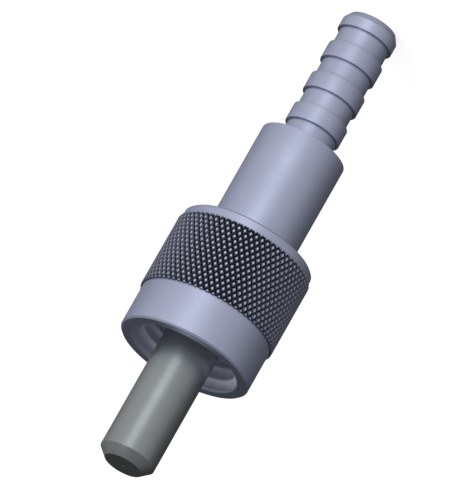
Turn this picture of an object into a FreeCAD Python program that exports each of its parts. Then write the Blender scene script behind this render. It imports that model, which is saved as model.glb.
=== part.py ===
import FreeCAD, Part
import math
import os
import Sketcher

# Fibre optic connector with a long round ferrule and a knurled coupling nut.
# Millimetres. +Z runs along the axis towards the ferrule tip, and the origin is the centre of
# the rear end of the crimp stem, on which the connector stands.

doc = FreeCAD.newDocument("fibre_optic_connector")

DRIVING_DIMENSIONS = [
    ("total_length", "28.48", "rear end of the stem to the tip of the ferrule"),
    ("reference_depth", "9.81", "ferrule tip back to the flange face that seats on the adapter"),
    ("edge_break", "0.04", "chamfer on the edges of the turned pieces"),
    ("stem_length", "8.0", "crimp stem behind the barrel"),
    ("rib_count", "4", "crimp ribs"),
    ("rib_length", "1.0", "length of a rib, and of the neck beside it"),
    ("rib_diameter", "3.2", "over the ribs"),
    ("neck_diameter", "2.87", "between the ribs"),
    ("lead_length", "0.385", "lead-in at the rear end, along the axis"),
    ("lead_depth", "0.24", "lead-in at the rear end, across"),
    ("barrel_diameter", "4.88", "smooth barrel that the nut turns on"),
    ("flange_diameter", "5.4", "flange that the nut pulls on"),
    ("flange_thickness", "0.8", "flange that the nut pulls on"),
    ("cable_bore", "1.6", "bore for the buffered fibre"),
    ("cable_bore_mouth", "0.15", "chamfer at the mouth of the cable bore"),
    ("ferrule_seat_depth", "5.4", "depth of the ferrule's seat behind the flange face"),
    ("ferrule_diameter", "3.175", "ferrule in front of its shoulder"),
    ("ferrule_shank", "2.6", "rear of the ferrule, and the bore that it is pressed into"),
    ("ferrule_recess", "0.15", "depth of the ferrule's shoulder behind the flange face"),
    ("ferrule_rear_gap", "0.1", "ferrule's rear end to the bottom of its seat"),
    ("ferrule_rear_chamfer", "0.2", "rear end of the ferrule, outside"),
    ("tip_chamfer", "0.5", "45 degree chamfer at the ferrule tip"),
    ("fibre_hole", "0.14", "hole for the bare fibre"),
    ("fibre_hole_length", "3.0", "hole for the bare fibre"),
    ("funnel_length", "0.8", "cone that guides the fibre into its hole"),
    ("buffer_hole", "1.0", "hole for the buffered fibre in the ferrule"),
    ("nut_rear", "14.26", "rear face of the nut, from the rear end of the stem"),
    ("nut_length", "7.32", "coupling nut"),
    ("band_diameter", "7.6", "smooth bands of the nut"),
    ("band_chamfer", "0.1", "outer rims of the nut"),
    ("rear_band_length", "0.57", "smooth band behind the knurl"),
    ("knurl_length", "4.23", "knurled band"),
    ("knurl_diameter", "7.86", "over the crests of the knurl"),
    ("knurl_depth", "0.115", "crest to groove of the knurl"),
    ("knurl_count", "70", "diamonds around the nut"),
    ("knurl_rows", "16", "half diamonds along the knurled band"),
    ("nut_bore", "5.0", "bore that runs on the barrel"),
    ("thread_minor", "5.586", "crests of the internal thread"),
    ("thread_major", "6.35", "roots of the internal thread"),
    ("thread_length", "3.03", "thread, from the front face of the nut"),
    ("mouth_length", "0.22", "countersink that opens the thread"),
    ("relief_clearance", "0.05", "runout groove behind the thread, over its roots"),
    ("nut_float", "0.35", "play of the nut along the barrel"),
    ("stop_gap", "0.02", "gap left at the flange when the nut is fully forward"),
    ("ring_seat_rear", "16.0", "rear wall of the body's ring groove"),
    ("ring_seat_diameter", "4.3", "bottom of the body's ring groove"),
    ("ring_thickness", "0.45", "retaining ring along the axis"),
    ("ring_inner", "4.4", "retaining ring"),
    ("ring_outer", "5.96", "retaining ring"),
    ("ring_split", "0.9", "gap in the retaining ring"),
    ("nut_groove_diameter", "6.1", "bottom of the nut's ring groove"),
    ("ring_face_gap", "0.01", "between faces that bear on the ring"),
    ("ring_groove_gap", "0.04", "behind the ring in the nut's groove"),
]

sheet = doc.addObject("Spreadsheet::Sheet", "dims")
for row, (alias, value, meaning) in enumerate(DRIVING_DIMENSIONS, start=1):
    sheet.set("A%d" % row, alias)
    sheet.set("B%d" % row, value)
    sheet.set("C%d" % row, meaning)
    sheet.setAlias("B%d" % row, alias)
doc.recompute()

# Stations along the axis and radii that several pieces share.
FLANGE_FRONT = "(dims.total_length - dims.reference_depth)"
FLANGE_REAR = FLANGE_FRONT + " - dims.flange_thickness"
FERRULE_SEAT = FLANGE_FRONT + " - dims.ferrule_seat_depth"
FERRULE_SHOULDER = FLANGE_FRONT + " - dims.ferrule_recess"
NUT_FRONT = "(dims.nut_rear + dims.nut_length)"
NUT_SHOULDER = FLANGE_REAR + " - dims.nut_float - dims.stop_gap"
THREAD_END = NUT_FRONT + " - dims.thread_length"
KNURL_REAR = "(dims.nut_rear + dims.rear_band_length)"
RING_REAR = "(dims.ring_seat_rear + dims.ring_face_gap)"
RING_FRONT = RING_REAR + " + dims.ring_thickness"

AXIS = "0"
ROOT_POINT = -1
VERTICAL_AXIS = -2
LINE_START = 1
LINE_END = 2


def number(expression):
    """Value of an expression on the sheet's cells."""
    return float(sheet.evalExpression(expression))


def new_body(label):
    body = doc.addObject("PartDesign::Body", label)
    body.Label = label
    return body


def new_sketch(body, name, plane_role):
    """Sketch on one of the body's own origin planes."""
    plane = [entry for entry in body.Origin.OriginFeatures if entry.Role == plane_role][0]
    sketch = body.newObject("Sketcher::SketchObject", name)
    sketch.AttachmentSupport = (plane, [""])
    sketch.MapMode = "FlatFace"
    return sketch


def bind(sketch, constraint, name, expression):
    """Adds a dimension and ties it to the sheet."""
    index = sketch.addConstraint(constraint)
    sketch.renameConstraint(index, name)
    sketch.setExpression("Constraints." + name, expression)


def half_profile(body, name, corners):
    """Closed outline in the XZ plane. A corner is a radius and a height, as expressions.

    A corner that shares its radius or height with the one before it gets a vertical or
    horizontal line in place of a second dimension, and a zero sits on the sketch's own axis.
    """
    sketch = new_sketch(body, name, "XZ_Plane")
    points = [FreeCAD.Vector(number(radius), number(height), 0) for radius, height in corners]
    count = len(corners)
    for index in range(count):
        sketch.addGeometry(Part.LineSegment(points[index], points[(index + 1) % count]), False)
    for index in range(count):
        following = (index + 1) % count
        sketch.addConstraint(Sketcher.Constraint("Coincident", index, LINE_END, following, LINE_START))
    for index, (radius, height) in enumerate(corners):
        before_radius, before_height = corners[index - 1] if index else (None, None)
        if radius == AXIS:
            sketch.addConstraint(Sketcher.Constraint("PointOnObject", index, LINE_START, VERTICAL_AXIS))
        elif radius == before_radius:
            sketch.addConstraint(Sketcher.Constraint("Vertical", index - 1))
        else:
            across = Sketcher.Constraint(
                "DistanceX", ROOT_POINT, LINE_START, index, LINE_START, points[index].x)
            bind(sketch, across, "radius%d" % index, radius)
        if height == AXIS:
            sketch.addConstraint(Sketcher.Constraint("PointOnObject", index, LINE_START, ROOT_POINT))
        elif height == before_height:
            sketch.addConstraint(Sketcher.Constraint("Horizontal", index - 1))
        else:
            along = Sketcher.Constraint(
                "DistanceY", ROOT_POINT, LINE_START, index, LINE_START, points[index].y)
            bind(sketch, along, "height%d" % index, height)
    return sketch


def turn(body, kind, name, corners):
    """Full revolution of an outline about the axis: Revolution adds metal, Groove removes it."""
    sketch = half_profile(body, name + "_outline", corners)
    feature = body.newObject("PartDesign::" + kind, name)
    feature.Profile = sketch
    feature.ReferenceAxis = (sketch, ["V_Axis"])
    feature.Angle = 360
    return feature


def rectangle(inner, outer, rear, front):
    """Corners of a ring-shaped cut or disc."""
    return [(inner, rear), (outer, rear), (outer, front), (inner, front)]


def make_connector_body():
    """One turned piece: ribbed crimp stem, smooth barrel, flange, bores and ring groove."""
    body = new_body("connector_body")
    neck = "dims.neck_diameter / 2"
    barrel = "dims.barrel_diameter / 2"
    flange = "dims.flange_diameter / 2"
    turn(body, "Revolution", "turned_blank", [
        (AXIS, AXIS),
        (neck, AXIS),
        (neck, "dims.stem_length"),
        (barrel + " - dims.edge_break", "dims.stem_length"),
        (barrel, "dims.stem_length + dims.edge_break"),
        (barrel, FLANGE_REAR),
        (flange, FLANGE_REAR),
        (flange, FLANGE_FRONT + " - dims.edge_break"),
        (flange + " - dims.edge_break", FLANGE_FRONT),
        (AXIS, FLANGE_FRONT),
    ])
    rib = "dims.rib_diameter / 2"
    crimp_rib = turn(body, "Revolution", "crimp_rib", [
        (AXIS, AXIS),
        (rib + " - dims.edge_break", AXIS),
        (rib, "dims.edge_break"),
        (rib, "dims.rib_length - dims.edge_break"),
        (rib + " - dims.edge_break", "dims.rib_length"),
        (AXIS, "dims.rib_length"),
    ])
    doc.recompute()
    ribs = body.newObject("PartDesign::LinearPattern", "crimp_ribs")
    ribs.Originals = [crimp_rib]
    ribs.Direction = (crimp_rib.Profile[0], ["V_Axis"])
    ribs.setExpression("Length", "(dims.rib_count - 1) * 2 * dims.rib_length")
    ribs.setExpression("Occurrences", "dims.rib_count")
    body.Tip = ribs
    turn(body, "Groove", "rear_lead", [
        (rib + " - dims.lead_depth", AXIS),
        (rib, AXIS),
        (rib, "dims.lead_length"),
    ])
    turn(body, "Groove", "ring_seat", rectangle(
        "dims.ring_seat_diameter / 2",
        barrel,
        "dims.ring_seat_rear",
        "dims.ring_seat_rear + dims.ring_thickness + dims.nut_float + 2 * dims.ring_face_gap",
    ))
    cable = "dims.cable_bore / 2"
    seat = "dims.ferrule_shank / 2"
    recess = "dims.ferrule_diameter / 2"
    turn(body, "Groove", "bores", [
        (AXIS, AXIS),
        (cable + " + dims.cable_bore_mouth", AXIS),
        (cable, "dims.cable_bore_mouth"),
        (cable, FERRULE_SEAT),
        (seat, FERRULE_SEAT),
        (seat, FERRULE_SHOULDER),
        (recess, FERRULE_SHOULDER),
        (recess, FLANGE_FRONT),
        (AXIS, FLANGE_FRONT),
    ])
    return body


def make_ferrule():
    """Ground tube with a pressed shank, a chamfered tip and a funnel into the fibre's fine hole."""
    body = new_body("ferrule")
    outside = "dims.ferrule_diameter / 2"
    shank = "dims.ferrule_shank / 2"
    buffer_hole = "dims.buffer_hole / 2"
    fibre_hole = "dims.fibre_hole / 2"
    rear = "(" + FERRULE_SEAT + " + dims.ferrule_rear_gap)"
    hole_end = "dims.total_length - dims.fibre_hole_length"
    turn(body, "Revolution", "ground_tube", [
        (buffer_hole, rear),
        (shank + " - dims.ferrule_rear_chamfer", rear),
        (shank, rear + " + dims.ferrule_rear_chamfer"),
        (shank, FERRULE_SHOULDER),
        (outside, FERRULE_SHOULDER),
        (outside, "dims.total_length - dims.tip_chamfer"),
        (outside + " - dims.tip_chamfer", "dims.total_length"),
        (fibre_hole, "dims.total_length"),
        (fibre_hole, hole_end),
        (buffer_hole, hole_end + " - dims.funnel_length"),
    ])
    return body


def make_retaining_ring():
    """Split spring ring that sits in the body's groove and in the nut's groove."""
    body = new_body("retaining_ring")
    flat = new_sketch(body, "ring_outline", "XY_Plane")
    flat.setExpression("AttachmentOffset.Base.z", RING_REAR)
    centre = FreeCAD.Vector(0, 0, 0)
    for index, alias in enumerate(("ring_outer", "ring_inner")):
        radius = "dims.%s / 2" % alias
        flat.addGeometry(Part.Circle(centre, FreeCAD.Vector(0, 0, 1), number(radius)), False)
        flat.addConstraint(Sketcher.Constraint("Coincident", index, 3, ROOT_POINT, LINE_START))
        bind(flat, Sketcher.Constraint("Radius", index, number(radius)), alias, radius)
    washer = body.newObject("PartDesign::Pad", "washer")
    washer.Profile = flat
    washer.setExpression("Length", "dims.ring_thickness")
    turned_on = new_sketch(body, "split_outline", "YZ_Plane")
    half_width = number("dims.ring_split / 2")
    low = number(RING_REAR)
    high = number(RING_FRONT)
    corners = [(-half_width, low), (half_width, low), (half_width, high), (-half_width, high)]
    points = [FreeCAD.Vector(across, up, 0) for across, up in corners]
    for index in range(4):
        turned_on.addGeometry(Part.LineSegment(points[index], points[(index + 1) % 4]), False)
    for index in range(4):
        following = (index + 1) % 4
        turned_on.addConstraint(Sketcher.Constraint("Coincident", index, LINE_END, following, LINE_START))
    for kind, line in (("Vertical", 1), ("Horizontal", 2), ("Vertical", 3)):
        turned_on.addConstraint(Sketcher.Constraint(kind, line))
    turned_on.addConstraint(Sketcher.Constraint("Symmetric", 0, LINE_START, 0, LINE_END, VERTICAL_AXIS))
    bind(turned_on, Sketcher.Constraint("DistanceX", 0, LINE_START, 0, LINE_END, 2 * half_width),
         "split_width", "dims.ring_split")
    bind(turned_on, Sketcher.Constraint("DistanceY", ROOT_POINT, LINE_START, 0, LINE_START, low),
         "split_rear", RING_REAR)
    bind(turned_on, Sketcher.Constraint("DistanceY", 0, LINE_END, 1, LINE_END, high - low),
         "split_height", "dims.ring_thickness")
    split = body.newObject("PartDesign::Pocket", "split")
    split.Profile = turned_on
    split.Reversed = True
    split.setExpression("Length", "dims.ring_outer / 2 + dims.ring_split")
    return body


def make_nut_blank():
    """Coupling nut without its knurl: smooth bands, running bore, ring groove and thread bore."""
    body = new_body("nut_blank")
    band = "dims.band_diameter / 2"
    turn(body, "Revolution", "bands", [
        (AXIS, "dims.nut_rear"),
        (band + " - dims.band_chamfer", "dims.nut_rear"),
        (band, "dims.nut_rear + dims.band_chamfer"),
        (band, NUT_FRONT + " - dims.band_chamfer"),
        (band + " - dims.band_chamfer", NUT_FRONT),
        (AXIS, NUT_FRONT),
    ])
    running = "dims.nut_bore / 2"
    crests = "dims.thread_minor / 2"
    relief = "dims.thread_major / 2 + dims.relief_clearance"
    turn(body, "Groove", "bore_and_mouth", [
        (AXIS, "dims.nut_rear"),
        (running + " + dims.band_chamfer", "dims.nut_rear"),
        (running, "dims.nut_rear + dims.band_chamfer"),
        (running, NUT_SHOULDER),
        (relief, NUT_SHOULDER),
        (relief, THREAD_END),
        (crests, THREAD_END),
        (crests, NUT_FRONT + " - dims.mouth_length"),
        ("dims.thread_major / 2", NUT_FRONT),
        (AXIS, NUT_FRONT),
    ])
    turn(body, "Groove", "ring_groove", rectangle(
        running,
        "dims.nut_groove_diameter / 2",
        RING_REAR + " - dims.ring_groove_gap",
        RING_FRONT + " + dims.ring_face_gap",
    ))
    return body


def knurled_sleeve():
    """Sleeve whose outside is all four-sided diamonds, as two crossing knurling wheels leave it.

    The grooves of the two wheels cross at the low corners of the diamonds, and each diamond
    rises from four corners to one crest. Every other row is shifted by half a diamond, and the
    rows at the two ends are halved by the flat end faces.
    """
    count = int(number("dims.knurl_count"))
    rows = int(number("dims.knurl_rows"))
    rear = number(KNURL_REAR)
    row_height = number("dims.knurl_length") / rows
    crest_radius = number("dims.knurl_diameter / 2")
    groove_radius = crest_radius - number("dims.knurl_depth")
    sleeve_bore = number("dims.band_diameter / 2 - dims.band_chamfer")
    half_step = math.pi / count

    def point(radius, half_steps, row):
        angle = -math.pi / 2 + half_steps * half_step
        height = rear + row * row_height
        return FreeCAD.Vector(radius * math.cos(angle), radius * math.sin(angle), height)

    faces = []
    for row in range(rows + 1):
        for diamond in range(count):
            middle = 2 * diamond + row % 2
            crest = point(crest_radius, middle, row)
            sides = [point(groove_radius, middle - 1, row), point(groove_radius, middle + 1, row)]
            ends = [point(groove_radius, middle, end) for end in (row - 1, row + 1) if 0 <= end <= rows]
            for side in sides:
                for end in ends:
                    faces.append(Part.Face(Part.makePolygon([crest, side, end, crest])))

    bore_edge = Part.Circle(FreeCAD.Vector(0, 0, rear), FreeCAD.Vector(0, 0, 1), sleeve_bore)
    bore_circle = Part.Wire(bore_edge.toShape())
    length = FreeCAD.Vector(0, 0, rows * row_height)
    faces.extend(bore_circle.extrude(length).Faces)
    for row in (0, rows):
        rim = []
        for step in range(2 * count):
            is_crest = step % 2 == row % 2
            rim.append(point(crest_radius if is_crest else groove_radius, step, row))
        rim_wire = Part.makePolygon(rim + rim[:1])
        hole = bore_circle.translated(FreeCAD.Vector(0, 0, row * row_height))
        faces.append(Part.makeFace([rim_wire, hole], "Part::FaceMakerBullseye"))
    shell = Part.makeCompound(faces)
    shell.sewShape()
    return Part.makeSolid(shell.Shells[0])


def make_coupling_nut():
    """Nut blank and its knurled band, as one piece."""
    blank = make_nut_blank()
    knurl = doc.addObject("Part::Feature", "knurl")
    knurl.Shape = knurled_sleeve()
    nut = doc.addObject("Part::Fuse", "coupling_nut")
    nut.Label = "coupling_nut"
    nut.Base = blank
    nut.Tool = knurl
    nut.Refine = False
    return nut


def check(objects):
    """Stops before anything is written if a feature has failed or a piece isn't one good solid."""
    failed = [entry.Name for entry in doc.Objects if "Invalid" in entry.State or "Error" in entry.State]
    if failed:
        raise RuntimeError("failed features: " + ", ".join(failed))
    for piece in objects:
        shape = piece.Shape
        if shape.isNull() or not shape.isValid() or len(shape.Solids) != 1:
            raise RuntimeError("not one valid solid: " + piece.Label)


pieces = [make_connector_body(), make_ferrule(), make_retaining_ring(), make_coupling_nut()]
doc.recompute()
check(pieces)

os.makedirs("parts", exist_ok=True)
for piece in pieces:
    piece.Shape.exportStep("parts/%s.step" % piece.Label)
    print("%-16s %9.3f mm3" % (piece.Label, piece.Shape.Volume))
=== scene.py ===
import math

import bpy
from mathutils import Matrix, Vector


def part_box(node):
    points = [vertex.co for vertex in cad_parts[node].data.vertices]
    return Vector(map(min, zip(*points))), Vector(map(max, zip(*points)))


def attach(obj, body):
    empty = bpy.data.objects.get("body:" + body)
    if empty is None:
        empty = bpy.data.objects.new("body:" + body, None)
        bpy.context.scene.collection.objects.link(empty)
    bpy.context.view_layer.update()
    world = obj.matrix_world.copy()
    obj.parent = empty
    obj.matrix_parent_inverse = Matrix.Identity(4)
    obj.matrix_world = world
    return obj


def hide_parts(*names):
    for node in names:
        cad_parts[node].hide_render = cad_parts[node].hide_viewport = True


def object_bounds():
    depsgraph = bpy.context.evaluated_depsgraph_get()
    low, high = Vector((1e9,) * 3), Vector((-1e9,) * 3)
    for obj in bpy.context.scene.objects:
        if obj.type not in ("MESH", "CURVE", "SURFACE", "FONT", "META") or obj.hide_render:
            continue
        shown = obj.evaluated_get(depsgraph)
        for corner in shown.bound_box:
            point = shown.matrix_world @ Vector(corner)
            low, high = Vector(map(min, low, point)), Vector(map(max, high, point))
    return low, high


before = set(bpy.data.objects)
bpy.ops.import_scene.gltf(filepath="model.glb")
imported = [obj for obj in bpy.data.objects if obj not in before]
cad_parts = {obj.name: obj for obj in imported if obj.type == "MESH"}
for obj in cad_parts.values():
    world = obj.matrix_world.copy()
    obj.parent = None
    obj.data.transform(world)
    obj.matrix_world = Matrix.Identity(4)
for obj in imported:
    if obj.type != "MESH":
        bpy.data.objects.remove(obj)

# The sizes of the pieces and of the patterns on them are in millimetres until a mesh or a
# material takes them. Those of the floor and the lamps are in metres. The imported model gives
# the places of the pieces, and the values below repeat the driving dimensions behind its
# forms. A round form has its radius as its value.
MM = 0.001
INCH = 25.4
cad_low, cad_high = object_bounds()

nut_low, nut_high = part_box("coupling_nut")
body_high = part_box("connector_body")[1]
ferrule_low, ferrule_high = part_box("ferrule")
NUT_REAR = nut_low.z / MM
NUT_FRONT = nut_high.z / MM
FLANGE_FRONT = body_high.z / MM
FERRULE_REAR = ferrule_low.z / MM
TIP = ferrule_high.z / MM

# Body
RIB_COUNT = 4
RIB_PITCH = 2.0
RIB_LENGTH = 1.0
STEM_LENGTH = RIB_COUNT * RIB_PITCH
RIB = 1.6
NECK = 1.435
LEAD_LENGTH = 0.385
LEAD_DEPTH = 0.24
BARREL = 2.44
FLANGE = 2.7
FLANGE_THICKNESS = 0.8
FLANGE_REAR = FLANGE_FRONT - FLANGE_THICKNESS
RING_SEAT = 2.15
RING_SEAT_REAR = 16.0
RING_SEAT_FRONT = 16.82
CABLE_BORE = 0.8
CABLE_MOUTH = 0.15
SEAT_DEPTH = 5.4
SEAT_REAR = FLANGE_FRONT - SEAT_DEPTH

# Ferrule
FERRULE = 1.5875
SHANK = 1.3
SHOULDER_DEPTH = 0.15
SHOULDER = FLANGE_FRONT - SHOULDER_DEPTH
SHANK_CHAMFER = 0.2
TIP_CHAMFER = 0.5
FIBRE_HOLE = 0.07
FIBRE_HOLE_LENGTH = 3.0
FUNNEL = 0.8
BUFFER_HOLE = 0.5

# Nut: its smooth bands, its running bore, the runout behind its thread and its ring groove
BAND = 3.8
BAND_CHAMFER = 0.1
REAR_BAND_LENGTH = 0.57
NUT_BORE = 2.5
FLANGE_GAP = 0.37
RELIEF = 3.225
RELIEF_REAR = FLANGE_REAR - FLANGE_GAP
NUT_GROOVE = 3.05
NUT_GROOVE_REAR = 15.97
NUT_GROOVE_FRONT = 16.47

# Knurl: a step is half a diamond around, and a row is half a diamond high. The flat and its
# softened edge are shares of a diamond.
KNURL_CREST = 3.93
KNURL_DEPTH = 0.115
KNURL_REAR = NUT_REAR + REAR_BAND_LENGTH
KNURL_LENGTH = 4.23
KNURL_COUNT = 70
KNURL_STEPS = 2 * KNURL_COUNT
KNURL_STEP = math.pi / KNURL_COUNT
KNURL_ROWS = 16
KNURL_ROW = KNURL_LENGTH / KNURL_ROWS
DIAMOND_FLAT = 0.34
DIAMOND_SOFT_EDGE = 0.04

# Thread: the phase is the height of the middle of a crest at the first angle.
THREADS_PER_INCH = 36
THREAD_PITCH = INCH / THREADS_PER_INCH
THREAD_CREST = 2.793
THREAD_ROOT = 3.175
THREAD_FLANK = math.radians(30)
CREST_FLAT = 0.124
THREAD_PHASE = 19.817
THREAD_LENGTH = 3.03
THREAD_REAR = NUT_FRONT - THREAD_LENGTH
MOUTH_DEPTH = 0.22
MOUTH_FLOOR = NUT_FRONT - MOUTH_DEPTH

# Rounded edges, and the fineness of the meshes
EDGE = 0.03
FINE_EDGE = 0.012
INNER_EDGE = 0.02
ARC_STEPS = 4
THREAD_ARC_STEPS = 3
MOUTH_STEPS = 16
LATHE_COLUMNS = 256
NUT_COLUMNS = 4 * KNURL_COUNT
FIRST_ANGLE = -math.pi / 2
STRAIGHT_BELOW = 1e-4
SHARP_ABOVE = math.radians(28)


def arc_corner(before, corner, after, fillet, steps=ARC_STEPS):
    """Points that round a corner of an outline. Points are (radius, height)."""
    here = Vector(corner)
    incoming = (here - Vector(before)).normalized()
    outgoing = (Vector(after) - here).normalized()
    turn = incoming.angle_signed(outgoing, 0.0)
    if fillet == 0 or abs(turn) < STRAIGHT_BELOW:
        return [tuple(here)]
    reach = fillet * math.tan(abs(turn) / 2)
    side = 1 if turn < 0 else -1
    centre = here - incoming * reach + Vector((-incoming.y, incoming.x)) * fillet * side
    start = here - incoming * reach - centre
    points = []
    for step in range(steps + 1):
        angle = abs(turn) * step / steps * side
        cos = math.cos(angle)
        sin = math.sin(angle)
        points.append((centre.x + start.x * cos - start.y * sin, centre.y + start.x * sin + start.y * cos))
    return points


def rounded(corners):
    """Outline with its corners rounded. A corner is (radius, height, fillet).

    The outline counts as closed, so the two ends of an open one have a fillet of 0.
    """
    points = []
    for index, (radius, height, fillet) in enumerate(corners):
        before = corners[index - 1][:2]
        after = corners[(index + 1) % len(corners)][:2]
        points.extend(arc_corner(before, (radius, height), after, fillet))
    return points


class Skin:
    """Vertices and faces of one piece, gathered around the connector's axis."""

    def __init__(self, columns):
        self.columns = columns
        self.points = []
        self.faces = []

    def angle(self, column):
        return FIRST_ANGLE + 2 * math.pi * column / self.columns

    def point(self, radius, angle, height):
        self.points.append((radius * math.cos(angle) * MM, radius * math.sin(angle) * MM, height * MM))
        return len(self.points) - 1

    def ring(self, radius, height):
        return [self.point(radius, self.angle(column), height) for column in range(self.columns)]

    def face(self, corners):
        """Face without corners that repeat the one before them, or none where under three are left."""
        kept = [corner for index, corner in enumerate(corners) if corner != corners[index - 1]]
        if len(set(kept)) > 2:
            self.faces.append(kept)

    def join(self, lower, upper):
        """Band of faces between two rings."""
        for column in range(self.columns):
            following = (column + 1) % self.columns
            self.face([lower[column], lower[following], upper[following], upper[column]])

    def rings(self, outline, before):
        """Rings along an outline, the first joined to a ring that is there. Returns the last."""
        for radius, height in outline:
            here = self.ring(radius, height)
            self.join(before, here)
            before = here
        return before

    def build(self, name):
        mesh = bpy.data.meshes.new(name)
        mesh.from_pydata(self.points, [], self.faces)
        mesh.validate()
        piece = bpy.data.objects.new(name, mesh)
        bpy.context.scene.collection.objects.link(piece)
        mesh.shade_smooth()
        mesh.set_sharp_from_angle(angle=SHARP_ABOVE)
        soft = piece.modifiers.new("even_normals", "WEIGHTED_NORMAL")
        soft.keep_sharp = True
        return piece


def lathe(name, corners):
    """Solid turned from a closed outline."""
    skin = Skin(LATHE_COLUMNS)
    outline = rounded(corners)
    first = skin.ring(*outline[0])
    last = skin.rings(outline[1:], first)
    skin.join(last, first)
    return skin.build(name)


def body_outline():
    """Stem with ribs and necks, barrel, ring seat and flange, and the bores on the way back."""
    corners = [
        (CABLE_BORE + CABLE_MOUTH, 0, 0),
        (RIB - LEAD_DEPTH, 0, EDGE),
        (RIB, LEAD_LENGTH, EDGE),
    ]
    for rib in range(RIB_COUNT):
        rib_front = RIB_PITCH * rib + RIB_LENGTH
        next_rear = RIB_PITCH * (rib + 1)
        corners.append((RIB, rib_front, EDGE))
        corners.append((NECK, rib_front, INNER_EDGE))
        if rib < RIB_COUNT - 1:
            corners.append((NECK, next_rear, INNER_EDGE))
            corners.append((RIB, next_rear, EDGE))
    corners += [
        (NECK, STEM_LENGTH, INNER_EDGE),
        (BARREL, STEM_LENGTH, EDGE),
        (BARREL, RING_SEAT_REAR, INNER_EDGE),
        (RING_SEAT, RING_SEAT_REAR, INNER_EDGE),
        (RING_SEAT, RING_SEAT_FRONT, INNER_EDGE),
        (BARREL, RING_SEAT_FRONT, INNER_EDGE),
        (BARREL, FLANGE_REAR, INNER_EDGE),
        (FLANGE, FLANGE_REAR, INNER_EDGE),
        (FLANGE, FLANGE_FRONT, EDGE),
        (FERRULE, FLANGE_FRONT, 0),
        (FERRULE, SHOULDER, 0),
        (SHANK, SHOULDER, 0),
        (SHANK, SEAT_REAR, 0),
        (CABLE_BORE, SEAT_REAR, 0),
        (CABLE_BORE, CABLE_MOUTH, 0),
    ]
    return corners


def ferrule_outline():
    """Shank, shoulder, ground tube and tip, and the fibre's hole and funnel on the way back."""
    return [
        (BUFFER_HOLE, FERRULE_REAR, 0),
        (SHANK - SHANK_CHAMFER, FERRULE_REAR, 0),
        (SHANK, FERRULE_REAR + SHANK_CHAMFER, 0),
        (SHANK, SHOULDER, 0),
        (FERRULE, SHOULDER, 0),
        (FERRULE, TIP - TIP_CHAMFER, EDGE),
        (FERRULE - TIP_CHAMFER, TIP, EDGE),
        (FIBRE_HOLE, TIP, EDGE),
        (FIBRE_HOLE, TIP - FIBRE_HOLE_LENGTH, 0),
        (BUFFER_HOLE, TIP - FIBRE_HOLE_LENGTH - FUNNEL, 0),
    ]


def diamond_levels():
    """Outer and inner end of a diamond's softened edge, as (share of the diamond, radius)."""
    half_width = KNURL_CREST * KNURL_STEP
    across = half_width * KNURL_ROW / math.hypot(half_width, KNURL_ROW)
    fall = KNURL_DEPTH / (1 - DIAMOND_FLAT)
    slope = math.atan2(fall, across)
    outer = DIAMOND_FLAT + DIAMOND_SOFT_EDGE
    outer_radius = KNURL_CREST - DIAMOND_SOFT_EDGE * fall
    inner = outer - DIAMOND_SOFT_EDGE * fall / (across * math.tan(slope / 2))
    return [(outer, outer_radius), (inner, KNURL_CREST)]


def add_knurl(skin, rear_ring, front_ring):
    """Diamonds with small flats, crossing grooves between them, and flat walls at both ends."""

    def place(radius, step, row):
        return skin.point(radius, FIRST_ANGLE + step * KNURL_STEP, KNURL_REAR + row * KNURL_ROW)

    grooves = {}
    for row in range(KNURL_ROWS + 1):
        for step in range(KNURL_STEPS):
            if (row + step) % 2:
                grooves[row, step] = place(KNURL_CREST - KNURL_DEPTH, step, row)

    # A cut diamond ends in a flat wall, with its foot on these columns of a smooth band. The
    # middle one is the foot of two points of the wall's rim.
    columns_per_step = skin.columns // KNURL_STEPS
    rim_columns = list(range(columns_per_step, -1, -1))
    rim_columns += [-column for column in reversed(rim_columns)]

    # A diamond's ways lead from its middle to its corners, as (steps around, rows up). The
    # first and the last row are cut in half.
    levels = diamond_levels()
    for row in range(KNURL_ROWS + 1):
        for middle in range(row % 2, KNURL_STEPS, 2):
            ways = [(-1, 0), (0, -1), (1, 0), (0, 1)]
            if row == 0:
                ways = [(1, 0), (0, 1), (-1, 0)]
            if row == KNURL_ROWS:
                ways = [(-1, 0), (0, -1), (1, 0)]
            closed = len(ways) == 4
            loops = [[grooves[row + up, (middle + side) % KNURL_STEPS] for side, up in ways]]
            for share, radius in levels:
                loops.append([place(radius, middle + share * side, row + share * up) for side, up in ways])
            for outside, inside in zip(loops, loops[1:]):
                for index in range(len(ways) if closed else len(ways) - 1):
                    following = (index + 1) % len(ways)
                    skin.face([outside[index], outside[following], inside[following], inside[index]])
            skin.face(loops[-1])
            if closed:
                continue
            rim = [loop[0] for loop in loops] + [loop[-1] for loop in reversed(loops)]
            band = rear_ring if row == 0 else front_ring
            first_side = ways[0][0]
            foot = []
            for column in rim_columns:
                foot.append(band[(columns_per_step * middle + first_side * column) % skin.columns])
            for index in range(len(rim) - 1):
                skin.face([rim[index], rim[index + 1], foot[index + 1], foot[index]])


def thread_section():
    """Points of one pitch of the thread, as (radius, height above the middle of a crest)."""
    flank = (THREAD_ROOT - THREAD_CREST) * math.tan(THREAD_FLANK)
    root_flat = THREAD_PITCH - CREST_FLAT - 2 * flank
    crest_end = CREST_FLAT / 2
    root_start = crest_end + flank
    root_end = root_start + root_flat
    corners = [
        (THREAD_CREST, -crest_end),
        (THREAD_CREST, crest_end),
        (THREAD_ROOT, root_start),
        (THREAD_ROOT, root_end),
        (THREAD_CREST, THREAD_PITCH - crest_end),
        (THREAD_CREST, THREAD_PITCH + crest_end),
    ]
    points = []
    for before, corner, after in zip(corners, corners[1:], corners[2:]):
        points.extend(arc_corner(before, corner, after, INNER_EDGE, THREAD_ARC_STEPS))
    return points


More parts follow.
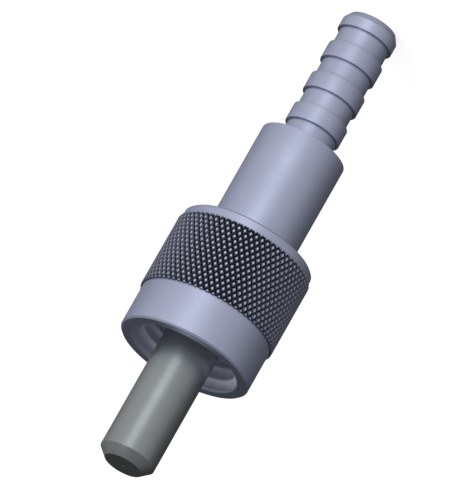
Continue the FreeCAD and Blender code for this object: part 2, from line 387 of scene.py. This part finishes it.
def add_thread(skin):
    """Right-handed helical groove from its runout up to the countersink, and the countersink.

    Rows follow the helix, and each column of points is cut off at the two ends of the thread.
    Returns the rings at the runout and at the nut's front face.
    """
    section = thread_section()
    first_radius, first_above = section[0]
    whole_pitch = section + [(first_radius, first_above + THREAD_PITCH)]

    def radius_at(column, height):
        above = (height - THREAD_PHASE - THREAD_PITCH * column / skin.columns) % THREAD_PITCH
        if above < first_above:
            above += THREAD_PITCH
        for (radius, start), (next_radius, end) in zip(whole_pitch, whole_pitch[1:]):
            if start <= above <= end:
                return radius + (next_radius - radius) * (above - start) / (end - start)
        return THREAD_CREST

    spare_turns = 2
    low_turn = math.floor((THREAD_REAR - THREAD_PHASE) / THREAD_PITCH) - spare_turns
    high_turn = math.ceil((MOUTH_FLOOR - THREAD_PHASE) / THREAD_PITCH) + spare_turns
    rows = []
    for turn in range(low_turn, high_turn):
        for radius, above in section:
            rows.append((radius, THREAD_PHASE + turn * THREAD_PITCH + above))
    rear_ring = []
    front_ring = []
    grid = []
    for column in range(skin.columns):
        angle = skin.angle(column)
        rise = THREAD_PITCH * column / skin.columns
        rear_ring.append(skin.point(radius_at(column, THREAD_REAR), angle, THREAD_REAR))
        front_ring.append(skin.point(radius_at(column, MOUTH_FLOOR), angle, MOUTH_FLOOR))
        line = []
        for radius, height in rows:
            if height + rise <= THREAD_REAR:
                line.append(rear_ring[-1])
            elif height + rise >= MOUTH_FLOOR:
                line.append(front_ring[-1])
            else:
                line.append(skin.point(radius, angle, height + rise))
        grid.append(line)

    # The helix has risen by a pitch when it meets the first column again.
    for column in range(skin.columns):
        here = grid[column]
        beside = grid[(column + 1) % skin.columns]
        shift = len(section) if column == skin.columns - 1 else 0
        for row in range(len(rows) - 1 - shift):
            skin.face([here[row + 1], beside[row + shift + 1], beside[row + shift], here[row]])

    before = front_ring
    for step in range(1, MOUTH_STEPS + 1):
        share = step / MOUTH_STEPS
        height = MOUTH_FLOOR + MOUTH_DEPTH * share
        cone = THREAD_CREST + (THREAD_ROOT - THREAD_CREST) * share
        here = []
        for column in range(skin.columns):
            radius = max(cone, radius_at(column, height))
            here.append(skin.point(radius, skin.angle(column), height))
        skin.join(here, before)
        before = here
    return rear_ring, before


def make_nut():
    """Front band and face, thread, bores and rear band, then the knurl between the two bands."""
    skin = Skin(NUT_COLUMNS)
    knurl_front = KNURL_REAR + KNURL_LENGTH
    front = [
        (BAND, knurl_front, 0),
        (BAND, NUT_FRONT - BAND_CHAMFER, FINE_EDGE),
        (BAND - BAND_CHAMFER, NUT_FRONT, FINE_EDGE),
        (THREAD_ROOT, NUT_FRONT, 0),
    ]
    band_front = skin.ring(BAND, knurl_front)
    face_edge = skin.rings(rounded(front)[1:-1], band_front)
    thread_rear, mouth_edge = add_thread(skin)
    skin.join(face_edge, mouth_edge)

    inside = [
        (THREAD_CREST, THREAD_REAR, 0),
        (RELIEF, THREAD_REAR, INNER_EDGE),
        (RELIEF, RELIEF_REAR, INNER_EDGE),
        (NUT_BORE, RELIEF_REAR, INNER_EDGE),
        (NUT_BORE, NUT_GROOVE_FRONT, INNER_EDGE),
        (NUT_GROOVE, NUT_GROOVE_FRONT, INNER_EDGE),
        (NUT_GROOVE, NUT_GROOVE_REAR, INNER_EDGE),
        (NUT_BORE, NUT_GROOVE_REAR, INNER_EDGE),
        (NUT_BORE, NUT_REAR + BAND_CHAMFER, INNER_EDGE),
        (NUT_BORE + BAND_CHAMFER, NUT_REAR, INNER_EDGE),
        (BAND - BAND_CHAMFER, NUT_REAR, FINE_EDGE),
        (BAND, NUT_REAR + BAND_CHAMFER, FINE_EDGE),
        (BAND, KNURL_REAR, 0),
    ]
    band_rear = skin.rings(rounded(inside)[1:], thread_rear)
    add_knurl(skin, band_rear, band_front)
    return skin.build("coupling_nut_turned")


class Nodes:
    """Short calls for building one node tree."""

    def __init__(self, tree):
        self.tree = tree
        tree.nodes.clear()

    def add(self, kind, **settings):
        node = self.tree.nodes.new(kind)
        for name, value in settings.items():
            setattr(node, name, value)
        return node

    def link(self, output, target):
        self.tree.links.new(output, target)

    def math(self, operation, first, second):
        node = self.add("ShaderNodeMath", operation=operation)
        for socket, value in zip(node.inputs, (first, second)):
            if isinstance(value, (int, float)):
                socket.default_value = value
            else:
                self.link(value, socket)
        return node.outputs[0]

    def plus(self, first, second):
        return self.math("ADD", first, second)

    def minus(self, first, second):
        return self.math("SUBTRACT", first, second)

    def times(self, first, second):
        return self.math("MULTIPLY", first, second)

    def remap(self, value, span, result, smooth=False):
        """The value with the ends of its span turned into those of a result. It holds past them."""
        node = self.add("ShaderNodeMapRange", interpolation_type="SMOOTHSTEP" if smooth else "LINEAR")
        self.link(value, node.inputs["Value"])
        ends = {"From Min": span[0], "From Max": span[1], "To Min": result[0], "To Max": result[1]}
        for name, number in ends.items():
            node.inputs[name].default_value = number
        return node.outputs["Result"]

    def noise(self, vector, per_mm, detail):
        node = self.add("ShaderNodeTexNoise")
        self.link(vector, node.inputs["Vector"])
        node.inputs["Scale"].default_value = per_mm / MM
        node.inputs["Detail"].default_value = detail
        return node.outputs[0]

    def openness(self, reach, inside=False):
        """1 on open faces, and less near hollow corners or, measured from inside, near outer edges."""
        probe = self.add("ShaderNodeAmbientOcclusion", samples=PROBE_SAMPLES)
        probe.only_local = inside
        probe.inside = inside
        probe.inputs["Distance"].default_value = reach * MM
        return probe.outputs["AO"]

    def to_output(self, surface, kind="ShaderNodeOutputMaterial"):
        self.link(surface.outputs[0], self.add(kind).inputs["Surface"])


# Metals: the marks' depth is in millimetres, and pits says how strong the pits are.
PLATING = {
    "colour": (0.60, 0.64, 0.845),
    "roughness": 0.45,
    "metal": 1.0,
    "marks_per_mm": 22.0,
    "mark_depth": 0.003,
    "pits": 0.04,
}
GROUND_STEEL = {
    "colour": (0.395, 0.425, 0.44),
    "roughness": 0.31,
    "metal": 0.92,
    "marks_per_mm": 30.0,
    "mark_depth": 0.001,
    "pits": 0.0,
}
SPRING_STEEL = {
    "colour": (0.33, 0.33, 0.34),
    "roughness": 0.38,
    "metal": 1.0,
    "marks_per_mm": 12.0,
    "mark_depth": 0.005,
    "pits": 0.08,
}
EDGE_TINT = 0.6
BUMP_STRENGTH = 0.35

# Patterns: how fine they are, the span of each that counts, and what it turns into
CLOUDS_PER_MM = 0.35
PITS_PER_MM = 9.0
SCUFFS_PER_MM = 3.5
PATTERN_SPAN = (0.3, 0.7)
PIT_SPAN = (0.25, 0.45)
SCUFF_SPAN = (0.35, 0.6)
CLOUD_SHADE = (0.955, 1.03)
CLOUD_ROUGHNESS = 0.03
MARK_SHADE = (0.975, 1.02)
MARK_RELIEF = 0.8
PIT_ROUGHNESS = (-0.3, 0.5)
PIT_RELIEF = 4.0

# Painted shade in hollow corners and in gaps between parts, and rubbed edges, found by how open a point is
# within reach
PROBE_SAMPLES = 8
CORNER_REACH = 0.14
CORNER_SPAN = (0.45, 0.92)
PAINTED_CORNER_SHADE = 0.15
WEAR_REACH = 0.05
WEAR_SPAN = (0.55, 0.9)
WEAR_IN_SCUFFS = (0.3, 1.0)
WEAR_GAIN = 0.10
WEAR_POLISH = 0.08

# Knurl: grooves darker, part tarnished metal and part painted shade, and crests lighter, part rubbed metal
# and part painted highlight. The cut thread is duller than the plating and paler, part its own colour and
# part painted light in the shaded mouth
KNURL_MARGIN = 0.005
FLANK_BRIGHT_FROM = 0.86
GROOVE_TARNISH_AND_PAINTED_SHADE = 0.28
CREST_RUB_AND_PAINTED_HIGHLIGHT = 1.16
TARNISH_ROUGHNESS = 0.12
THREAD_MARGIN = 0.001
# Paler colour of the thread, part its own colour and part painted light in the shaded mouth
THREAD_NICKEL_WITH_PAINTED_LIGHT = (0.82, 0.84, 0.96)
THREAD_DULLNESS = 0.20
THREAD_METAL = 0.25
COUNTERSINK_BLEND = 0.02
COUNTERSINK_SHARE = 0.12

# Sockets of the node that mixes two vectors
MIX_FIRST = 4
MIX_SECOND = 5
MIX_RESULT = 1


def from_axis(make, place):
    """Distance from the connector's axis, and height along it."""
    split = make.add("ShaderNodeSeparateXYZ")
    make.link(place, split.inputs[0])
    flat = make.add("ShaderNodeCombineXYZ")
    make.link(split.outputs["X"], flat.inputs["X"])
    make.link(split.outputs["Y"], flat.inputs["Y"])
    length = make.add("ShaderNodeVectorMath", operation="LENGTH")
    make.link(flat.outputs[0], length.inputs[0])
    return length.outputs["Value"], split.outputs["Z"]


def knurl_tarnish_and_painted_light(make, radius, height):
    """1 everywhere but on the knurl, where the grooves are darker, part tarnished metal and part painted
    shade, and the crests lighter, part rubbed metal and part painted highlight.
    """
    on_knurl = make.times(
        make.math("GREATER_THAN", height, (KNURL_REAR + KNURL_MARGIN) * MM),
        make.math("LESS_THAN", height, (KNURL_REAR + KNURL_LENGTH - KNURL_MARGIN) * MM),
    )
    on_knurl = make.times(on_knurl, make.math("GREATER_THAN", radius, (BAND + KNURL_MARGIN) * MM))
    rise = make.remap(radius, ((KNURL_CREST - KNURL_DEPTH) * MM, KNURL_CREST * MM), (0.0, 1.0))
    tarnish_and_painted_light = make.remap(rise, (FLANK_BRIGHT_FROM, 1.0), (GROOVE_TARNISH_AND_PAINTED_SHADE, CREST_RUB_AND_PAINTED_HIGHLIGHT), smooth=True)
    return make.minus(1.0, make.times(on_knurl, make.minus(1.0, tarnish_and_painted_light)))


def in_thread(make, radius, height):
    """1 on the faces of the nut's thread, less in its countersink, and 0 elsewhere."""
    blend = ((MOUTH_FLOOR - COUNTERSINK_BLEND) * MM, (MOUTH_FLOOR + COUNTERSINK_BLEND) * MM)
    along = make.times(
        make.math("GREATER_THAN", height, THREAD_REAR * MM),
        make.remap(height, blend, (1.0, COUNTERSINK_SHARE)),
    )
    return make.times(along, make.math("LESS_THAN", radius, (THREAD_ROOT + THREAD_MARGIN) * MM))


def turned_metal(name, colour, roughness, metal, marks_per_mm, mark_depth, pits, nut=False):
    """Turned metal: fine marks around the axis, slightly uneven tint and sheen, and darker pits.

    The marks vary only with the distance from the axis and along it. Hollow corners and gaps
    between parts are darkened with painted shade, and the outer edges are rubbed bright. On the
    nut, the knurl's grooves are darker, part tarnished metal and part painted shade, and its crests
    lighter, part rubbed metal and part painted highlight. The nut's thread is duller and paler,
    part its own colour and part painted light in the shaded mouth. The Specular Tint holds back
    the reflection at a grazing angle.
    """
    material = bpy.data.materials.new(name)
    material.use_nodes = True
    make = Nodes(material.node_tree)
    place = make.add("ShaderNodeTexCoord").outputs["Object"]
    radius, height = from_axis(make, place)
    around = make.add("ShaderNodeCombineXYZ")
    make.link(radius, around.inputs["X"])
    make.link(height, around.inputs["Y"])
    marks = make.noise(around.outputs[0], marks_per_mm, detail=2.0)
    cloud = make.noise(place, CLOUDS_PER_MM, detail=3.0)
    speckle = make.noise(place, PITS_PER_MM, detail=2.0)
    scuffs = make.noise(place, SCUFFS_PER_MM, detail=4.0)

    # Painted shade: hollow corners and gaps between parts are darkened.
    corner = make.remap(make.openness(CORNER_REACH), CORNER_SPAN, (PAINTED_CORNER_SHADE, 1.0))
    worn = make.remap(make.openness(WEAR_REACH, inside=True), WEAR_SPAN, (1.0, 0.0))
    worn = make.times(worn, make.remap(scuffs, SCUFF_SPAN, WEAR_IN_SCUFFS))

    shade = make.times(
        make.remap(cloud, PATTERN_SPAN, CLOUD_SHADE),
        make.remap(marks, PATTERN_SPAN, MARK_SHADE),
    )
    shade = make.times(shade, make.remap(speckle, PIT_SPAN, (1.0 - pits, 1.0)))
    least, most = PIT_ROUGHNESS
    sheen = make.plus(
        make.remap(cloud, PATTERN_SPAN, (roughness + CLOUD_ROUGHNESS, roughness - CLOUD_ROUGHNESS)),
        make.remap(speckle, PATTERN_SPAN, (least * pits, most * pits)),
    )
    tint = make.add("ShaderNodeVectorMath", operation="SCALE")
    tint.inputs[0].default_value = colour
    surface = make.add("ShaderNodeBsdfPrincipled")
    surface.inputs["Metallic"].default_value = metal
    surface.inputs["Specular Tint"].default_value = (EDGE_TINT, EDGE_TINT, EDGE_TINT, 1.0)
    if nut:
        # Painted shade in the knurl's grooves, with tarnished metal, and painted highlight on its crests,
        # with rubbed metal.
        tarnish_and_painted_light = knurl_tarnish_and_painted_light(make, radius, height)
        shade = make.times(shade, tarnish_and_painted_light)
        sheen = make.plus(sheen, make.times(make.minus(1.0, tarnish_and_painted_light), TARNISH_ROUGHNESS))
        thread = in_thread(make, radius, height)
        sheen = make.plus(sheen, make.times(thread, THREAD_DULLNESS))
        # The thread gets no painted corner shade.
        corner = make.math("MAXIMUM", corner, thread)
        # The thread's paler colour is partly painted light that lifts the shade in the nut's mouth.
        paler = make.add("ShaderNodeMix", data_type="VECTOR")
        make.link(thread, paler.inputs["Factor"])
        paler.inputs[MIX_FIRST].default_value = colour
        paler.inputs[MIX_SECOND].default_value = THREAD_NICKEL_WITH_PAINTED_LIGHT
        make.link(paler.outputs[MIX_RESULT], tint.inputs[0])
        make.link(make.remap(thread, (0.0, 1.0), (metal, THREAD_METAL)), surface.inputs["Metallic"])
    shade = make.times(shade, corner)
    shade = make.times(shade, make.remap(worn, (0.0, 1.0), (1.0, 1.0 + WEAR_GAIN)))
    sheen = make.minus(sheen, make.times(worn, WEAR_POLISH))
    make.link(shade, tint.inputs["Scale"])

    bump = make.add("ShaderNodeBump")
    bump.inputs["Strength"].default_value = BUMP_STRENGTH
    bump.inputs["Distance"].default_value = mark_depth * MM
    relief = make.plus(make.times(marks, MARK_RELIEF), make.times(speckle, PIT_RELIEF * pits))
    make.link(relief, bump.inputs["Height"])

    make.link(tint.outputs[0], surface.inputs["Base Color"])
    make.link(sheen, surface.inputs["Roughness"])
    make.link(bump.outputs[0], surface.inputs["Normal"])
    make.to_output(surface)
    return material


def paint(piece, material):
    piece.data.materials.clear()
    piece.data.materials.append(material)


# Floor
FLOOR_HALF = 0.6
FLOOR_SHADE = 0.86
FLOOR_ROUGHNESS = 0.9
FLOOR_SHEEN = 0.1
FLOOR_GLOW = 0.73


def floor_material():
    material = bpy.data.materials.new("pale_floor")
    material.use_nodes = True
    make = Nodes(material.node_tree)
    surface = make.add("ShaderNodeBsdfPrincipled")
    surface.inputs["Base Color"].default_value = (FLOOR_SHADE, FLOOR_SHADE, FLOOR_SHADE, 1.0)
    surface.inputs["Roughness"].default_value = FLOOR_ROUGHNESS
    surface.inputs["Specular IOR Level"].default_value = FLOOR_SHEEN
    surface.inputs["Emission Color"].default_value = (1.0, 1.0, 1.0, 1.0)
    surface.inputs["Emission Strength"].default_value = FLOOR_GLOW
    make.to_output(surface)
    return material


def make_floor():
    """Plain square that the camera sees and that throws neither light nor shade on the connector."""
    mesh = bpy.data.meshes.new("floor")
    corners = [(-1, -1), (1, -1), (1, 1), (-1, 1)]
    mesh.from_pydata([(x * FLOOR_HALF, y * FLOOR_HALF, 0) for x, y in corners], [], [(0, 1, 2, 3)])
    plane = bpy.data.objects.new("floor", mesh)
    bpy.context.scene.collection.objects.link(plane)
    paint(plane, floor_material())
    plane.visible_glossy = False
    plane.visible_diffuse = False
    plane.visible_shadow = False
    return plane


# Studio light. A place is an azimuth and an elevation. The light grows from the first side
# level, opposite the bright side, to the second, on it. A span is that of the cosine to a
# place, over which a patch of light or dimness grows from nothing to its strength. Towards
# straight overhead, the light falls from all of it to a share.
BRIGHT_SIDE = (math.radians(40), 0)
SIDE_LEVELS = (0.19, 0.67)
GLINT = (math.radians(20.5), math.radians(-18))
GLINT_SPAN = (0.925, 1.0)
GLINT_STRENGTH = 0.71
DIM_SIDE = (math.radians(232), math.radians(-20))
DIM_SIDE_SPAN = (0.3, 1.0)
DIM_SIDE_STRENGTH = 0.125
DIM_BEHIND = (math.radians(180), math.radians(40))
DIM_BEHIND_SPAN = (0.62, 1.0)
DIM_BEHIND_STRENGTH = 0.25
OVERHEAD_SPAN = (0.1, 0.9)
OVERHEAD_SHARES = (1.0, 0.55)
DARKEST = 0.045
KEY = (math.radians(38), math.radians(38))
KEY_SIZE = 0.35
MOUTH_FILL = (math.radians(180), math.radians(68))
MOUTH_FILL_SIZE = 0.3
LAMP_DISTANCE = 0.7
LAMP_POWER = 0.5


def towards(azimuth, elevation):
    """Direction from the object. Azimuth 0 is -Y, the camera's side, and 90 degrees is +X."""
    flat = math.cos(elevation)
    return (math.sin(azimuth) * flat, -math.cos(azimuth) * flat, math.sin(elevation))


def light_studio():
    """Soft light all round, brightest in front towards +X, with a glint low in front.

    It is dimmer overhead, high up behind, and low down behind towards -X.
    """
    world = bpy.data.worlds.new("studio")
    bpy.context.scene.world = world
    world.use_nodes = True
    sky = Nodes(world.node_tree)
    direction = sky.add("ShaderNodeTexCoord").outputs["Generated"]

    def facing(vector):
        node = sky.add("ShaderNodeVectorMath", operation="DOT_PRODUCT")
        sky.link(direction, node.inputs[0])
        node.inputs[1].default_value = vector
        return node.outputs["Value"]

    def patch(place, span, strength):
        return sky.remap(facing(towards(*place)), span, (0.0, strength), smooth=True)

    swing = sky.remap(facing(towards(*BRIGHT_SIDE)), (-1.0, 1.0), SIDE_LEVELS)
    light = sky.plus(swing, patch(GLINT, GLINT_SPAN, GLINT_STRENGTH))
    dimness = sky.plus(
        patch(DIM_SIDE, DIM_SIDE_SPAN, DIM_SIDE_STRENGTH),
        patch(DIM_BEHIND, DIM_BEHIND_SPAN, DIM_BEHIND_STRENGTH),
    )
    overhead = sky.remap(facing((0, 0, 1)), OVERHEAD_SPAN, OVERHEAD_SHARES, smooth=True)
    level = sky.math("MAXIMUM", sky.times(sky.minus(light, dimness), overhead), DARKEST)
    glow = sky.add("ShaderNodeBackground")
    glow.inputs["Color"].default_value = (1.0, 1.0, 1.0, 1.0)
    sky.link(level, glow.inputs["Strength"])
    sky.to_output(glow, "ShaderNodeOutputWorld")


def soft_light(name, place, size):
    """Round lamp that points at the middle of the connector."""
    data = bpy.data.lights.new(name, "AREA")
    data.shape = "DISK"
    data.size = size
    data.energy = LAMP_POWER
    lamp = bpy.data.objects.new(name, data)
    away = Vector(towards(*place))
    lamp.location = Vector((0, 0, (cad_low.z + cad_high.z) / 2)) + away * LAMP_DISTANCE
    lamp.rotation_mode = "QUATERNION"
    lamp.rotation_quaternion = (-away).to_track_quat("-Z", "Y")
    bpy.context.scene.collection.objects.link(lamp)
    return lamp


# Camera: the photograph is a parallel view from about 20.9 degrees above the horizon, rolled so
# that the connector's axis runs from its top right to its bottom left. The long lens comes
# close to that, at a slightly lower elevation.
ELEVATION = math.radians(20.47)
ROLL = math.radians(150.337)
AIM = Vector((0.382 * MM, 0, 14.768 * MM))
FRAME_HEIGHT = 26.348 * MM
LENS = 1400.0
SENSOR = 36.0
CLIP_START = 0.01
CLIP_END = 10.0


def make_camera():
    data = bpy.data.cameras.new("camera")
    data.lens = LENS
    data.sensor_width = SENSOR
    data.clip_start = CLIP_START
    data.clip_end = CLIP_END
    camera = bpy.data.objects.new("camera", data)
    bpy.context.scene.collection.objects.link(camera)
    side = Vector((1, 0, 0))
    upward = Vector((0, math.sin(ELEVATION), math.cos(ELEVATION)))
    back = Vector((0, -math.cos(ELEVATION), math.sin(ELEVATION)))
    right = side * math.cos(ROLL) - upward * math.sin(ROLL)
    above = side * math.sin(ROLL) + upward * math.cos(ROLL)
    turned = Matrix((right, above, back)).transposed().to_4x4()
    camera.matrix_world = Matrix.Translation(AIM + back * (FRAME_HEIGHT * LENS / SENSOR)) @ turned
    return camera


# Pieces
plated = turned_metal("satin_nickel", **PLATING)
plated_knurled = turned_metal("satin_nickel_knurled", **PLATING, nut=True)
ground = turned_metal("ground_steel", **GROUND_STEEL)
spring = turned_metal("spring_steel", **SPRING_STEEL)

nut = make_nut()
paint(nut, plated_knurled)
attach(nut, "nut")
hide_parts("coupling_nut")

barrel = lathe("connector_body_turned", body_outline())
paint(barrel, plated)
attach(barrel, "connector")
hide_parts("connector_body")

tube = lathe("ferrule_ground", ferrule_outline())
paint(tube, ground)
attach(tube, "connector")
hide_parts("ferrule")

paint(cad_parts["retaining_ring"], spring)

# Stage, light and camera. The fill reaches into the nut's mouth, and nothing mirrors it.
floor = make_floor()
light_studio()
soft_light("key", KEY, KEY_SIZE)
mouth_fill = soft_light("mouth_fill", MOUTH_FILL, MOUTH_FILL_SIZE)
mouth_fill.visible_glossy = False
bpy.context.scene.camera = make_camera()
bpy.context.scene.view_settings.view_transform = "Standard"
